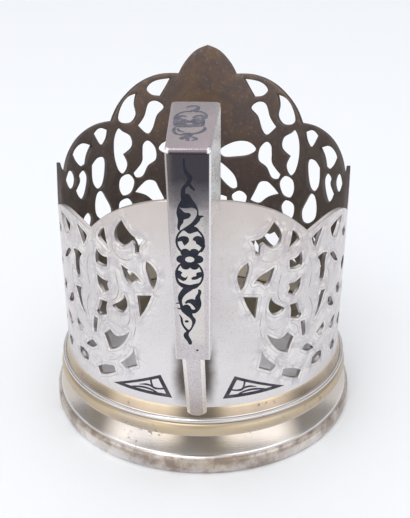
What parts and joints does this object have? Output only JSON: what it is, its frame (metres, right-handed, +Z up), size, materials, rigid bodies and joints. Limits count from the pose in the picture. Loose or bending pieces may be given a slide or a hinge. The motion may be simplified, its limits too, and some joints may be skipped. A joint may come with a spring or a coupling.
{
  "type": "tea glass holder",
  "caption": "Openwork metal holder for a tea glass, with a moulded foot, a scalloped rim and a box handle with a thumb plate.",
  "frame": {"origin": "middle of the floor plate's top face, on the cup's axis, where the glass stands; the table is 16 mm lower", "axes": "+Z up along the cup's axis, -Y towards the handle, +X to the right as seen from the handle's side"},
  "size_m": [0.0772, 0.1029, 0.0857],
  "materials": {
    "silver_wall": "tarnished satin silver",
    "silver": "satin silver",
    "gilt_silver": "worn gilding on silver",
    "niello": "blue-black niello, satin"
  },
  "bodies": {
    "root": {"wall_shell": "silver_wall", "foot_upper_ring": "gilt_silver", "foot_middle_ring": "gilt_silver", "foot_rim_ring": "silver", "floor_plate": "silver", "handle_thumb_plate": "silver", "handle_front_plate": "silver", "handle_back_plate": "silver", "handle_rear_plate": "silver", "handle_end_plate": "silver", "handle_cheek_left": "silver", "handle_cheek_right": "silver", "handle_strut": "silver", "niello_bar_scroll": "niello", "niello_thumb_motif": "niello", "niello_cartouche_right": "niello", "niello_cartouche_left": "niello", "niello_medallion_scroll": "niello"}
  },
  "joints": []
}
